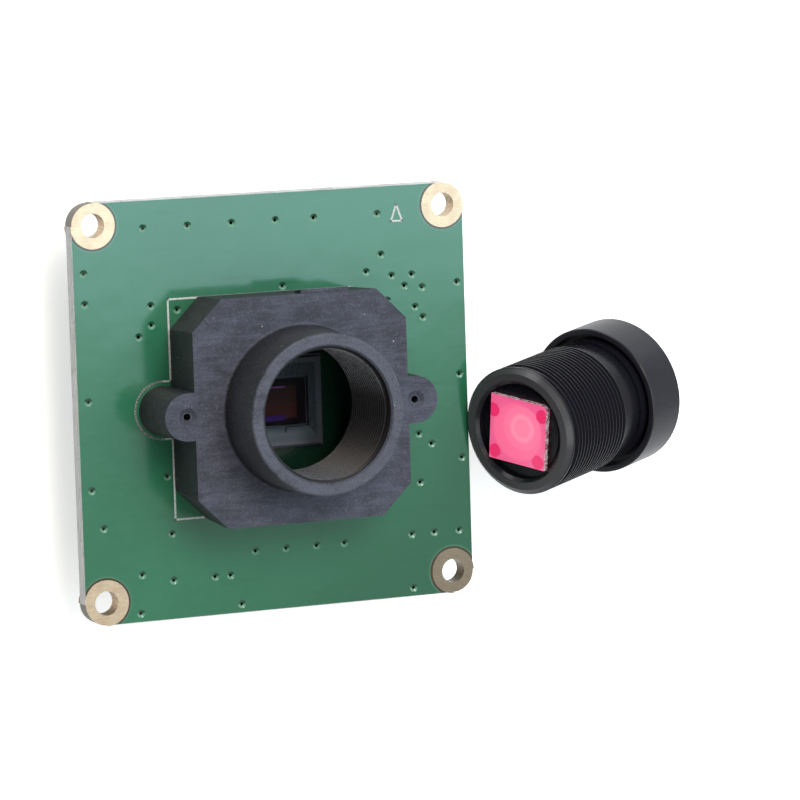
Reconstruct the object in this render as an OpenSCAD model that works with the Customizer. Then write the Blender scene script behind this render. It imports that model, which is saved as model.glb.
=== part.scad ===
// Board camera module with an M12 lens holder and its unscrewed lens.
// Origin: centre of the mounting hole pattern on the board's rear face.
// +Z is the optical axis, +X and +Y run along the board's edges.
// The board lies on its rear parts, and the loose lens leans on its edge.

/* [Board] */
// Nominal width and height of the square board
board_w = 38; // [36:0.5:50]
// Thickness of the board
board_t = 1.6; // [1:0.1:2.4]
// Distance of each mounting hole's centre from the nominal edges
hole_inset = 2; // [2:0.1:4]
// Finished diameter of the mounting holes
hole_d = 2.2; // [1.8:0.1:2.6]
// Outer diameter of the plated rings round the mounting holes
ring_d = 4.2; // [3.4:0.1:4.6]
// How far the snapped edges stand proud of the routed corners
snap_step = 0.1; // [0.05:0.05:0.3]
// Depth of the score line left on each side of a snapped edge
score_depth = 0.4; // [0.2:0.05:0.45]
// How far the score line cuts into the board's face
score_w = 0.12; // [0.05:0.01:0.2]
// Thickness of the plated copper
plating_t = 0.05; // [0.03:0.01:0.1]

/* [Vias] */
// Diameter of a via's hole
via_d = 0.3; // [0.2:0.05:0.4]
// Diameter of the dish in the solder mask over a via
via_dish_d = 0.75; // [0.5:0.05:0.9]
// Depth of the dish
via_dish_t = 0.12; // [0.05:0.01:0.2]

/* [Lens holder] */
// Width across the flats at the parting line
holder_w = 20.6; // [18:0.1:24]
// Height of the block above the board
holder_h = 6.5; // [5:0.1:9]
// Length cut off each edge by the corner chamfers
holder_chamfer = 2.8; // [1:0.1:4]
// Draft of the block's sides, per side
holder_draft = 0.25; // [0:0.05:0.4]
// Outer diameter of the barrel at its rim
barrel_d = 14.5; // [14:0.1:16]
// Height of the barrel above the block
barrel_h = 6.1; // [4:0.1:10]
// Growth of the barrel's radius from rim to root
barrel_draft = 0.2; // [0:0.05:0.4]
// Round edge of the barrel's rim
rim_round = 0.2; // [0.1:0.05:0.3]
// Width of the chamfer at the mouth of the thread
mouth_chamfer = 0.2; // [0.1:0.05:0.5]
// Inner width of the square chamber over the sensor
chamber_w = 14.4; // [13:0.1:15.5]
// Height of the chamber above the board
chamber_h = 3.2; // [2.5:0.1:4.5]
// Spacing of the two screw ears
ear_pitch = 22; // [21:0.1:26]
// Diameter of a screw ear at its top
ear_d = 4.3; // [3.6:0.1:4.6]
// Diameter of the pilot hole for the screw
pilot_d = 1.6; // [1.4:0.05:1.8]
// Depth of the pilot hole
pilot_depth = 5.2; // [4:0.1:5.5]
// Diameter of the core pin's mark on top of an ear
ear_mark_d = 0.65; // [0.5:0.05:0.9]
// Diameter of the shallow dish round that mark
ear_dish_d = 2; // [1.2:0.1:2.4]

/* [Sensor] */
// Width of the sensor package
sensor_w = 8.6; // [7.5:0.1:10]
// Depth of the sensor package
sensor_d = 8.4; // [7.5:0.1:10]
// Height of the sensor package
sensor_h = 0.9; // [0.7:0.05:1.3]
// Width of the cavity
cavity_w = 5.6; // [5:0.1:6.4]
// Depth of the cavity
cavity_d = 4.6; // [4:0.1:6]
// Depth of the cavity below the package's rim
cavity_h = 0.55; // [0.4:0.05:0.65]
// Side of the square cover glass
glass_w = 7; // [6.6:0.1:7.4]
// Thickness of the cover glass
glass_t = 0.4; // [0.3:0.05:0.8]
// Width of the silicon die
die_w = 5.2; // [4.6:0.1:5.4]
// Depth of the silicon die
die_d = 4.2; // [3.6:0.1:4.4]
// Thickness of the silicon die
die_t = 0.3; // [0.2:0.05:0.4]

/* [Lens] */
// Major diameter of the lens thread
thread_d = 12; // [11.8:0.1:12.2]
// Depth of the fine thread, which is left off here
thread_depth = 0.28; // [0.2:0.01:0.3]
// Length of the lens from its rear face to its front rim
lens_len = 16.6; // [15.5:0.1:20]
// Where the thread ends, from the rear face
thread_end = 9.5; // [8:0.1:10]
// Diameter of the lens head
head_d = 13.8; // [13:0.1:16]
// Length of the lens head
head_len = 4.5; // [4:0.1:5]
// Thickness of the rim behind the head
head_rim_t = 0.55; // [0.3:0.05:0.6]
// Depth of the ring-shaped pocket behind the head
head_pocket = 1; // [0.5:0.1:1.2]
// Diameter of the smooth neck between thread and head
neck_d = 11.2; // [10.8:0.1:11.4]
// Diameter of the pocket that holds the infrared filter
filter_seat_d = 9; // [8.9:0.05:9.2]
// Side of the square infrared filter
filter_w = 6.2; // [5.6:0.1:6.2]
// Thickness of the infrared filter
filter_t = 0.5; // [0.3:0.05:0.6]
// Turn of the filter about the lens axis
filter_turn = 14; // [0:1:45]
// Thickness of the glue under the filter's corners
glue_t = 0.1; // [0.05:0.05:0.2]
// Yaw of the lens as it leans on the board
lens_yaw = 8.5; // [-15:0.5:15]
// Where the lens touches the board's edge, along Y
lens_y = -3.8; // [-8:0.2:8]

/* [Rear parts] */
// Height of the cable connector
connector_h = 7; // [5.5:0.1:7.5]
// Number of pins in the cable connector
connector_pins_n = 4; // [3:1:4]
// Pitch of the connector's pins
connector_pitch = 2.5; // [2:0.1:2.6]
// Depth of the connector from mouth to back
connector_d = 9; // [7:0.1:9.5]
// Wall thickness of the connector
connector_wall = 1; // [0.8:0.05:1.2]
// Distance of the connector's mouth from the board's nominal edge
connector_inset = 0.4; // [0:0.1:1]
// Height of the electrolytic capacitors
can_h = 7; // [5.5:0.1:7.5]
// Diameter of the electrolytic capacitors
can_d = 5; // [4:0.1:5]
// Side of the image processor's body
processor_w = 10; // [9:0.5:10]
// Leads on each side of the image processor
processor_leads_n = 16; // [10:1:16]

/* [Hidden] */
$fn = 64;
// Overlap that keeps a cut clear of the face it starts from
eps = 0.1;

// Board
hole_pitch = board_w - 2 * hole_inset;
edge_x = board_w / 2 + snap_step;
drill_d = hole_d + 2 * plating_t;
screw_hole_d = 2;

// Vias, in the groups that they follow on the board
via_top_row = [for (x = [-12.25, -8, -3.75, 0.5, 4.25, 10.5]) [x, 16.5]];
via_left_column = [[-18, 12.75], [-18, 10], [-18, 1.25], [-18, -6.75], [-17, -10.25]];
via_left_group = [
    [-11.75, 9.5], [-11.75, 7.75], [-13, 6.75], [-9.25, 9], [-10.75, -6], [-10.5, -11.25]
];
via_lower_row = [for (x = [-2.5, 0.5, 3.5, 6.25]) [x, -13.5]];
via_lower_group = [
    [-13.5, -14.75], [-10.5, -15.5], [-6.5, -15.5], [-5, -15.5], [-4, -18.25], [-13.75, -18.25]
];
via_right_group = [
    [9.25, 11.25], [11.75, 10.75], [13.75, 10.75], [13, 9.75], [14.75, 9.5],
    [14, 7.75], [14.75, 6.75], [11.25, 8.5], [10.75, 12.75], [1, 10.5]
];
via_right_column = [
    [18.25, 9.75], [18.25, 1.25], [18.25, -6.5], [14, -4], [15.25, -5], [14, -8.5]
];
via_corner_group = [[13, -13.25], [15.25, -13.25], [17.75, -13.25], [13, -18.25]];
vias = concat(
    via_top_row, via_left_column, via_left_group, via_lower_row,
    via_lower_group, via_right_group, via_right_column, via_corner_group
);

// Sensor
sensor_top = board_t + sensor_h;
sensor_foot = 0.35;
sensor_step = 0.25;
notch_w = 1.1;
notch_d = 0.5;
notch_h = 0.25;

// Holder
thread_fit = 0.05;
bore_r = thread_d / 2 + thread_fit;
barrel_root_r = barrel_d / 2 + barrel_draft;
rim_z = holder_h + barrel_h;
root_fillet = 0.3;
ear_draft = 0.1;
ear_dish_t = 0.25;
chamber_corner = 1.5;
gate_w = 4.6;
gate_t = 0.35;
gate_h = 2.2;
gate_x = 2.6;
slab = 0.01;

// Holder screws
screw_len = 5;
screw_tip = 0.8;
screw_head_d = 3.4;
screw_head_h = 1.1;
screw_slot_w = 0.5;
screw_slot_len = 1.9;

// Rear parts
processor_at = [0, 3];
processor_h = 1;
memory_at = [12.8, 5.6];
memory_size = [3.9, 4.9, 1.45];
regulators_at = [[-12.6, -5.2], [-12.6, -9.6]];
regulator_size = [1.6, 2.9, 1.1];
crystal_at = [0, 14.8];
crystal_len = 11.4;
crystal_w = 4.7;
crystal_h = 3.6;
crystal_lip = 0.45;
crystal_lip_t = 0.4;
crystal_base_t = 0.5;
inductor_at = [-13, 5.6];
drum_d = 5;
drum_core_d = 2.4;
drum_h = 3.6;
flange_t = 0.7;
winding_d = 4.4;
cans_at = [[12.2, 12.2], [-12.2, 12.2]];
can_base_w = can_d + 0.3;
can_base_h = 0.8;
can_foot = [1, 0.8, 0.25];
tantalums_at = [[10.4, -5.6], [14.4, -5.6]];
tantalum_size = [2.8, 3.5, 1.9];
tantalum_end = [2.2, 0.15, 1];
cap_size = [1.6, 0.8, 0.8];
res_size = [1.6, 0.8, 0.45];
chip_end = 0.3;
chip_wrap = 0.03;
// Place and turn of each chip part
caps_at = [
    [-7.6, 6.8, 90], [-7.6, 4.2, 90], [-7.6, -1.4, 90], [7.6, 6.8, 90], [7.6, 4.2, 90],
    [7.6, -1.4, 90], [-4.4, -4.7, 0], [-1.5, -4.7, 0], [1.5, -4.7, 0], [4.4, -4.7, 0],
    [-16.8, -4.6, 90], [16.8, 1.4, 90], [-9.8, -13, 90], [3.4, 10.6, 0]
];
ress_at = [
    [-4.4, -6.5, 0], [-1.5, -6.5, 0], [1.5, -6.5, 0], [4.4, -6.5, 0], [-9.2, -6.4, 90],
    [-16.8, 1.4, 90], [10.4, -10.4, 90], [12.4, -10.4, 90], [14.4, -10.4, 90], [-1, 10.6, 0],
    [-8.2, -10.4, 0], [9.4, -13.8, 90]
];

// Connector
connector_end = 2.45;
connector_w = (connector_pins_n - 1) * connector_pitch + 2 * connector_end;
connector_back = 1.5;
connector_inner_w = connector_w - 2 * connector_wall;
connector_inner_h = connector_h - 2 * connector_wall;
key_w = 1.8;
pin_w = 0.6;
pin_z = connector_h / 2;
pin_tip = 1.4;
pin_foot = 1.8;
pin_foot_t = 0.3;
tab_y = 1.2;
tab = [0.3, 1.8, 3];
tab_foot = 1.2;
tab_foot_t = 0.25;

// Lens
thread_core_r = thread_d / 2 - thread_depth;
head_z = lens_len - head_len;
head_r = head_d / 2;
rear_rim_r = 5.5;
first_crest = [0.45, 0.6];
window_d = 5.4;
filter_seat_h = filter_t + glue_t + 0.02;
filter_seat_r = filter_seat_d / 2;
seat_mouth = 0.28;
seat_groove_w = 0.36;
seat_groove_t = 0.15;
cell_z = 2.2;
cell_d = 8.6;
front_z = 12.4;
front_d = 10.4;
front_lip = 1;
cell_fit = 0.02;
glue_at = 3.4;
glue_d = 1.36;
glue_angles = [27, 143, 226, 317];
filter_chip = 0.5;
rear_element_t = 1.6;
rear_spacer_t = 1.8;
stop_t = 0.2;
stop_d = 2.6;
middle_element_t = 1.6;
front_element_t = 1.8;
ring_t = 1.1;
ring_slot = 0.9;
rear_spacer_z = cell_z + rear_element_t;
stop_z = rear_spacer_z + rear_spacer_t;
middle_z = stop_z + stop_t;
front_spacer_z = middle_z + middle_element_t;
ring_z = front_z + front_element_t;

// Leaning pose: the first crest of the thread meets the board's top edge
// and the head's front rim meets the plane on which the rear parts stand
lean_gap = 0.01;
lean_r = thread_d / 2 + lean_gap;
lean_s = (first_crest[0] + first_crest[1]) / 2;
lean_x = edge_x - score_w;
rear_h = max(connector_h, can_h);

function edge_n(t) = norm([sin(t), cos(t) * cos(lens_yaw)]);
function rim_clearance(t) =
    lean_r * cos(t) * cos(lens_yaw) / edge_n(t) + board_t + rear_h
    - (lens_len - lean_s) * sin(t) - head_r * cos(t);
function solve_lean(low, high, steps) =
    steps == 0 ? (low + high) / 2
    : rim_clearance((low + high) / 2) > 0 ? solve_lean((low + high) / 2, high, steps - 1)
    : solve_lean(low, (low + high) / 2, steps - 1);

lean = solve_lean(0, 60, 30);
lens_axis = [cos(lean) * cos(lens_yaw), cos(lean) * sin(lens_yaw), -sin(lean)];
edge_normal = [sin(lean), 0, cos(lean) * cos(lens_yaw)] / edge_n(lean);
lens_pos = [lean_x, lens_y, board_t] + lean_r * edge_normal - lean_s * lens_axis;

// Board

module at_corners(pitch) {
    for (x = [-1, 1], y = [-1, 1]) translate([x * pitch / 2, y * pitch / 2]) children();
}

module at_ears() {
    for (a = [0, 180]) rotate(a) translate([ear_pitch / 2, 0]) children();
}

// Two crossed bars with a routed disc round each mounting hole
module board_outline() {
    square([2 * edge_x, hole_pitch], center = true);
    square([hole_pitch, 2 * edge_x], center = true);
    at_corners(hole_pitch) circle(hole_inset);
}

// What a V-shaped score leaves along one straight edge
module score_cut() {
    rotate([90, 0, 0]) linear_extrude(hole_pitch + 2 * eps, center = true)
        polygon([[-score_w, 0], [0, -score_depth], [eps, -score_depth], [eps, eps], [-score_w, eps]]);
}

module via_cut() {
    translate([0, 0, -eps]) cylinder(h = board_t + 2 * eps, d = via_d);
    translate([0, 0, board_t - via_dish_t]) cylinder(h = via_dish_t, d1 = via_d, d2 = via_dish_d);
    cylinder(h = via_dish_t, d1 = via_dish_d, d2 = via_d);
}

module pcb() {
    color("seagreen") difference() {
        linear_extrude(board_t) board_outline();
        for (a = [0:90:270]) rotate(a) translate([edge_x, 0, 0]) {
            translate([0, 0, board_t]) score_cut();
            mirror([0, 0, 1]) score_cut();
        }
        at_corners(hole_pitch) translate([0, 0, -eps]) cylinder(h = board_t + 2 * eps, d = drill_d);
        at_ears() translate([0, 0, -eps]) cylinder(h = board_t + 2 * eps, d = screw_hole_d);
        for (p = vias) translate(p) via_cut();
    }
}

// One rivet-like sleeve of copper in each mounting hole
module mounting_hole_plating() {
    total = board_t + 2 * plating_t;
    color("gold") intersection() {
        at_corners(hole_pitch) difference() {
            union() {
                cylinder(h = board_t, d = drill_d);
                translate([0, 0, -plating_t]) cylinder(h = plating_t, d = ring_d);
                translate([0, 0, board_t]) cylinder(h = plating_t, d = ring_d);
            }
            translate([0, 0, -plating_t - eps]) cylinder(h = total + 2 * eps, d = hole_d);
        }
        translate([0, 0, -plating_t]) linear_extrude(total) board_outline();
    }
}

// Sensor

// Ceramic tray: a wider foot, a cavity for the die and a keying notch in its rim
module sensor_package() {
    upper = [sensor_w - 2 * sensor_step, sensor_d - 2 * sensor_step];
    color("slategray") translate([0, 0, board_t]) difference() {
        union() {
            linear_extrude(sensor_foot) square([sensor_w, sensor_d], center = true);
            linear_extrude(sensor_h) square(upper, center = true);
        }
        translate([-cavity_w / 2, -cavity_d / 2, sensor_h - cavity_h])
            cube([cavity_w, cavity_d, cavity_h + eps]);
        translate([-notch_w / 2, -cavity_d / 2 - notch_d, sensor_h - notch_h])
            cube([notch_w, notch_d + eps, notch_h + eps]);
    }
}

module sensor_die() {
    color("saddlebrown") translate([-die_w / 2, -die_d / 2, sensor_top - cavity_h])
        cube([die_w, die_d, die_t]);
}

module sensor_cover_glass() {
    color("lightcyan", 0.4) translate([-glass_w / 2, -glass_w / 2, sensor_top])
        cube([glass_w, glass_w, glass_t]);
}

// Lens holder

module chamfered_square(w) {
    intersection() {
        square(w, center = true);
        rotate(45) square(sqrt(2) * (w - holder_chamfer), center = true);
    }
}

// Eight-sided block that widens a little towards its top
module holder_block() {
    hull() {
        linear_extrude(slab) chamfered_square(holder_w - 2 * holder_draft);
        translate([0, 0, holder_h - slab]) linear_extrude(slab) chamfered_square(holder_w);
    }
}

// Screw ear: a round boss joined to the block by a straight web
module holder_ear() {
    web = ear_pitch / 2 - holder_w / 2 + 1;
    cylinder(h = holder_h, d1 = ear_d + 2 * ear_draft, d2 = ear_d);
    translate([-web, -ear_d / 2, 0]) cube([web, ear_d, holder_h]);
}

// Barrel: drafted outside, with a small fillet at its root and a round rim
module holder_barrel() {
    rim_r = barrel_d / 2;
    rotate_extrude() polygon([
        [0, -slab], [barrel_root_r + root_fillet, -slab],
        for (a = [0:15:90])
            [barrel_root_r + root_fillet * (1 - sin(a)), root_fillet * (1 - cos(a))],
        for (a = [0:15:90])
            [rim_r - rim_round * (1 - cos(a)), barrel_h - rim_round * (1 - sin(a))],
        [0, barrel_h]
    ]);
}

// What is left of the moulding gate on the side of the block
module gate_mark() {
    translate([gate_x - gate_w / 2, holder_w / 2 - holder_draft - eps, holder_h - gate_h])
        rotate([90, 0, 90]) linear_extrude(gate_w) polygon([
            [0, 0], [eps, 0], [eps + gate_t, 0.5], [eps + gate_t + holder_draft, gate_h - 0.4],
            [0, gate_h - 0.4]
        ]);
}

module lens_holder() {
    color("darkslategray") translate([0, 0, board_t]) difference() {
        union() {
            holder_block();
            at_ears() holder_ear();
            translate([0, 0, holder_h]) holder_barrel();
            gate_mark();
        }
        // Thread and its mouth
        cylinder(h = rim_z + eps, r = bore_r);
        translate([0, 0, rim_z - mouth_chamfer])
            cylinder(h = mouth_chamfer + eps, r1 = bore_r, r2 = bore_r + mouth_chamfer + eps);
        // Chamber over the sensor, with round corners
        translate([0, 0, -eps]) linear_extrude(chamber_h + eps) {
            square([chamber_w, chamber_w - 2 * chamber_corner], center = true);
            square([chamber_w - 2 * chamber_corner, chamber_w], center = true);
            at_corners(chamber_w - 2 * chamber_corner) circle(chamber_corner);
        }
        // Screw pilots, each with its core pin's mark on top
        at_ears() {
            translate([0, 0, -eps]) cylinder(h = pilot_depth + eps, d = pilot_d);
            cylinder(h = holder_h + eps, d = ear_mark_d);
            translate([0, 0, holder_h - ear_dish_t])
                cylinder(h = ear_dish_t + eps, d1 = ear_mark_d + 0.2, d2 = ear_dish_d);
        }
    }
}

// Holder screws, driven from the board's rear

module screw() {
    waist = screw_head_h * 0.4;
    difference() {
        union() {
            translate([0, 0, -screw_head_h])
                cylinder(h = waist, d1 = screw_head_d * 0.8, d2 = screw_head_d);
            translate([0, 0, waist - screw_head_h]) cylinder(h = screw_head_h - waist, d = screw_head_d);
            cylinder(h = screw_len - screw_tip, d = pilot_d);
            translate([0, 0, screw_len - screw_tip])
                cylinder(h = screw_tip, d1 = pilot_d, d2 = pilot_d * 0.6);
        }
        for (a = [0, 90]) rotate(a)
            translate([-screw_slot_len / 2, -screw_slot_w / 2, -screw_head_h - eps])
                cube([screw_slot_len, screw_slot_w, screw_head_h * 0.6 + eps]);
    }
}

module holder_screws() {
    color("silver") at_ears() screw();
}

// Rear parts are drawn standing on z = 0 and then hung under the board

module on_rear(p, turn = 0) {
    translate([p[0], p[1], 0]) mirror([0, 0, 1]) rotate(turn) children();
}

// Bent lead: out of the body's side, down, and out along the board
module gull_lead(reach, h, w, t) {
    knee = reach * 0.4;
    rotate([90, 0, 0]) linear_extrude(w, center = true) polygon([
        [0, h], [0, h - t], [knee - t, h - t], [knee, 0], [reach, 0], [reach, t], [knee + t, t], [knee, h]
    ]);
}

module lead_row(n, pitch, reach, h, w, t) {
    for (i = [0:n - 1]) translate([0, (i - (n - 1) / 2) * pitch, 0]) gull_lead(reach, h, w, t);
}

// Moulded body: straight at the leads' height and drafted above and below
module chip_body(size, stand, dot_d) {
    draft = 0.12;
    low = size[2] * 0.4;
    inner = [size[0] - 2 * draft, size[1] - 2 * draft];
    difference() {
        translate([0, 0, stand]) hull() {
            linear_extrude(size[2]) square(inner, center = true);
            translate([0, 0, low]) linear_extrude(0.2) square([size[0], size[1]], center = true);
        }
        translate([-size[0] / 2 + dot_d, -size[1] / 2 + dot_d, stand + size[2] - 0.06])
            cylinder(h = 0.06 + eps, d = dot_d);
    }
}

module processor_body() {
    color("dimgray") on_rear(processor_at) chip_body([processor_w, processor_w, processor_h], 0.1, 1);
}

module processor_leads() {
    color("silver") on_rear(processor_at) for (a = [0:90:270]) rotate(a)
        translate([processor_w / 2, 0, 0]) lead_row(processor_leads_n, 0.5, 1, 0.65, 0.22, 0.14);
}

module memory_body() {
    color("dimgray") on_rear(memory_at) chip_body(memory_size, 0.1, 0.8);
}

module memory_leads() {
    color("silver") on_rear(memory_at) for (a = [0, 180]) rotate(a)
        translate([memory_size[0] / 2, 0, 0]) lead_row(4, 1.27, 1.05, 0.85, 0.41, 0.16);
}

module regulator_bodies() {
    color("dimgray") for (p = regulators_at) on_rear(p) chip_body(regulator_size, 0.05, 0.4);
}

// Three leads on one side and two on the other
module regulator_leads() {
    color("silver") for (p = regulators_at) on_rear(p) {
        translate([regulator_size[0] / 2, 0, 0]) lead_row(3, 0.95, 0.6, 0.65, 0.4, 0.14);
        rotate(180) translate([regulator_size[0] / 2, 0, 0]) lead_row(2, 1.9, 0.6, 0.65, 0.4, 0.14);
    }
}

// Crystal: drawn steel can with a lip, on a plastic base

module stadium(len, w) {
    square([len - w, w], center = true);
    for (side = [-1, 1]) translate([side * (len - w) / 2, 0]) circle(d = w);
}

module crystal_can() {
    color("silver") on_rear(crystal_at) translate([0, 0, crystal_base_t]) {
        linear_extrude(crystal_lip_t) stadium(crystal_len, crystal_w);
        linear_extrude(crystal_h - crystal_base_t)
            stadium(crystal_len - 2 * crystal_lip, crystal_w - 2 * crystal_lip);
    }
}

module crystal_base() {
    color("dimgray") on_rear(crystal_at) translate([-crystal_len / 2, -crystal_w / 2, 0])
        cube([crystal_len, crystal_w, crystal_base_t]);
}

// Power inductor: ferrite drum with its winding in view

module inductor_core() {
    color("dimgray") on_rear(inductor_at) {
        cylinder(h = drum_h, d = drum_core_d);
        cylinder(h = flange_t, d = drum_d);
        translate([0, 0, drum_h - flange_t]) cylinder(h = flange_t, d = drum_d);
    }
}

module inductor_winding() {
    wound = drum_h - 2 * flange_t;
    color("peru") on_rear(inductor_at) translate([0, 0, flange_t]) difference() {
        cylinder(h = wound, d = winding_d);
        translate([0, 0, -eps]) cylinder(h = wound + 2 * eps, d = drum_core_d);
    }
}

// Electrolytic capacitors: a crimped can on a keyed plastic base

module electrolytic_cans() {
    r = can_d / 2;
    crimp = 0.25;
    crimp_z = 0.95;
    top = can_h - can_base_h;
    color("silver") for (p = cans_at) on_rear(p) translate([0, 0, can_base_h])
        rotate_extrude() polygon([
            [0, 0], [r - crimp, 0], [r, crimp], [r, crimp_z - crimp], [r - crimp, crimp_z],
            [r, crimp_z + crimp], [r, top - crimp], [r - crimp, top], [0, top]
        ]);
}

module electrolytic_bases() {
    half = can_base_w / 2;
    key = half - 1.1;
    color("dimgray") for (p = cans_at) on_rear(p) linear_extrude(can_base_h) polygon([
        [-half, -half], [key, -half], [half, -key], [half, key], [key, half], [-half, half]
    ]);
}

module electrolytic_feet() {
    color("silver") for (p = cans_at, a = [0, 180]) on_rear(p, a)
        translate([can_base_w / 2, -can_foot[1] / 2, 0]) cube(can_foot);
}

// Moulded tantalum capacitors: one top edge is cut as a polarity mark

module tantalum_bodies() {
    half = tantalum_size[1] / 2;
    h = tantalum_size[2];
    color("goldenrod") for (p = tantalums_at) on_rear(p) rotate([90, 0, 90])
        linear_extrude(tantalum_size[0], center = true)
            polygon([[-half, 0], [half, 0], [half, h - 0.5], [half - 0.4, h], [-half, h]]);
}

module tantalum_ends() {
    color("silver") for (p = tantalums_at, a = [0, 180]) on_rear(p, a)
        translate([-tantalum_end[0] / 2, tantalum_size[1] / 2, 0]) cube(tantalum_end);
}

// Chip parts: a ceramic body between two plated ends

module chip_middle(size) {
    translate([-size[0] / 2 + chip_end, -size[1] / 2, 0]) cube([size[0] - 2 * chip_end, size[1], size[2]]);
}

module chip_ends(size) {
    for (a = [0, 180]) rotate(a) translate([size[0] / 2 - chip_end, -size[1] / 2 - chip_wrap, 0])
        cube([chip_end, size[1] + 2 * chip_wrap, size[2] + chip_wrap]);
}

module chip_capacitors() {
    color("tan") for (p = caps_at) on_rear(p, p[2]) chip_middle(cap_size);
}

module chip_capacitor_ends() {
    color("silver") for (p = caps_at) on_rear(p, p[2]) chip_ends(cap_size);
}

module chip_resistors() {
    color("black") for (p = ress_at) on_rear(p, p[2]) chip_middle(res_size);
}

module chip_resistor_ends() {
    color("silver") for (p = ress_at) on_rear(p, p[2]) chip_ends(res_size);
}

// Cable connector: side-entry shell whose mouth faces the board's -Y edge

function pin_x(i) = (i - (connector_pins_n - 1) / 2) * connector_pitch;

module at_connector() {
    on_rear([0, connector_inset - board_w / 2]) children();
}

module connector_housing() {
    color("ivory") at_connector() difference() {
        translate([-connector_w / 2, 0, 0]) cube([connector_w, connector_d, connector_h]);
        translate([-connector_inner_w / 2, -eps, connector_wall])
            cube([connector_inner_w, connector_d - connector_back + eps, connector_inner_h]);
        // Two keyways through the wall away from the board
        for (side = [-1, 1])
            translate([side * connector_w / 4 - key_w / 2, -eps, connector_h - connector_wall - eps])
                cube([key_w, connector_d * 0.5 + eps, connector_wall + 2 * eps]);
        for (i = [0:connector_pins_n - 1])
            translate([pin_x(i) - pin_w / 2, connector_d - connector_back - eps, pin_z - pin_w / 2])
                cube([pin_w, connector_back + 2 * eps, pin_w]);
    }
}

// Square pins: pointed in the socket, bent down behind it to the board
module connector_pins() {
    leg = connector_d + 0.15;
    low = pin_z - pin_w / 2;
    high = pin_z + pin_w / 2;
    color("gold") at_connector() for (i = [0:connector_pins_n - 1])
        translate([pin_x(i), 0, 0]) rotate([90, 0, 90]) linear_extrude(pin_w, center = true) polygon([
            [pin_tip, pin_z], [pin_tip + 0.4, low], [leg, low], [leg, 0], [leg + pin_foot, 0],
            [leg + pin_foot, pin_foot_t], [leg + pin_w, pin_foot_t], [leg + pin_w, high - 0.2],
            [leg + pin_w - 0.2, high], [pin_tip + 0.4, high]
        ]);
}

// Solder tabs: an upright against each side wall and a foot on the board
module connector_tabs() {
    color("silver") at_connector() for (side = [0, 1]) mirror([side, 0, 0])
        translate([connector_w / 2, tab_y, 0]) {
            cube(tab);
            cube([tab_foot, tab[1], tab_foot_t]);
        }
}

// Lens, drawn along +Z from its rear face and then leaned on the board

module leaning() {
    translate(lens_pos) rotate([0, 90 + lean, lens_yaw]) children();
}

module lens_barrel() {
    step_r = neck_d / 2 + 0.3;
    pocket_r = head_r - head_rim_t;
    color("dimgray") leaning() rotate_extrude() polygon([
        // Rear rim, first crest, thread core and neck
        [filter_seat_r + seat_mouth, 0], [rear_rim_r, 0], [thread_d / 2, first_crest[0]],
        [thread_d / 2, first_crest[1]], [thread_core_r, first_crest[1] + thread_depth],
        [thread_core_r, thread_end], [neck_d / 2, thread_end + 0.2], [neck_d / 2, head_z - 0.6],
        // Step, pocket and outside of the head
        [step_r, head_z - 0.6], [step_r, head_z + head_pocket], [pocket_r, head_z + head_pocket],
        [pocket_r, head_z], [head_r - 0.1, head_z], [head_r, head_z + 0.1],
        [head_r, lens_len - 0.2], [head_r - 0.2, lens_len],
        // Front recess, front cell, inner cell, rear window and filter seat
        [head_r - 0.8, lens_len], [front_d / 2, lens_len - front_lip], [front_d / 2, front_z],
        [cell_d / 2, front_z], [cell_d / 2, cell_z], [window_d / 2, cell_z],
        [window_d / 2, filter_seat_h], [filter_seat_r - seat_groove_w, filter_seat_h],
        [filter_seat_r - seat_groove_w, filter_seat_h + seat_groove_t],
        [filter_seat_r, filter_seat_h + seat_groove_t], [filter_seat_r, seat_mouth]
    ]);
}

function sag(r, d) = r - sqrt(r * r - d * d / 4);

// Spherical cap of diameter d that stands on the plane z = 0
module glass_cap(r, d) {
    intersection() {
        translate([0, 0, sag(r, d) - r]) sphere(r);
        translate([0, 0, -eps]) cylinder(h = r, d = d + 0.4);
    }
}

// Flat-rimmed glass disc; each face bulges over its own diameter
module convex_element(d, t, rear_r, rear_d, face_r, face_d) {
    cylinder(h = t, d = d);
    translate([0, 0, t]) glass_cap(face_r, face_d);
    mirror([0, 0, 1]) glass_cap(rear_r, rear_d);
}

module in_cell(z) {
    color("lightcyan", 0.5) leaning() translate([0, 0, z]) children();
}

module cell_ring(z, h, d, inner_d) {
    color("dimgray") leaning() translate([0, 0, z]) difference() {
        cylinder(h = h, d = d - 2 * cell_fit);
        translate([0, 0, -eps]) cylinder(h = h + 2 * eps, d = inner_d);
    }
}

module rear_element() {
    in_cell(cell_z) convex_element(cell_d - 2 * cell_fit, rear_element_t, 8, 5, 12, 6);
}

module rear_spacer() {
    cell_ring(rear_spacer_z, rear_spacer_t, cell_d, 7);
}

module aperture_stop() {
    cell_ring(stop_z, stop_t, cell_d, stop_d);
}

module middle_element() {
    dish_r = 9;
    in_cell(middle_z) difference() {
        cylinder(h = middle_element_t, d = cell_d - 2 * cell_fit);
        translate([0, 0, sag(dish_r, 6) - dish_r]) sphere(dish_r);
        translate([0, 0, middle_element_t + dish_r - sag(dish_r, 6)]) sphere(dish_r);
    }
}

module front_spacer() {
    cell_ring(front_spacer_z, front_z - front_spacer_z, cell_d, 7);
}

module front_element() {
    in_cell(front_z) convex_element(front_d - 2 * cell_fit, front_element_t, 14, 6.6, 10, 8.2);
}

// Retaining ring with two slots for a spanner
module front_ring() {
    difference() {
        cell_ring(ring_z, ring_t, front_d, 8.6);
        leaning() translate([-front_d / 2, -ring_slot / 2, ring_z + ring_t - 0.5])
            cube([front_d, ring_slot, 0.5 + eps]);
    }
}

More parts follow.
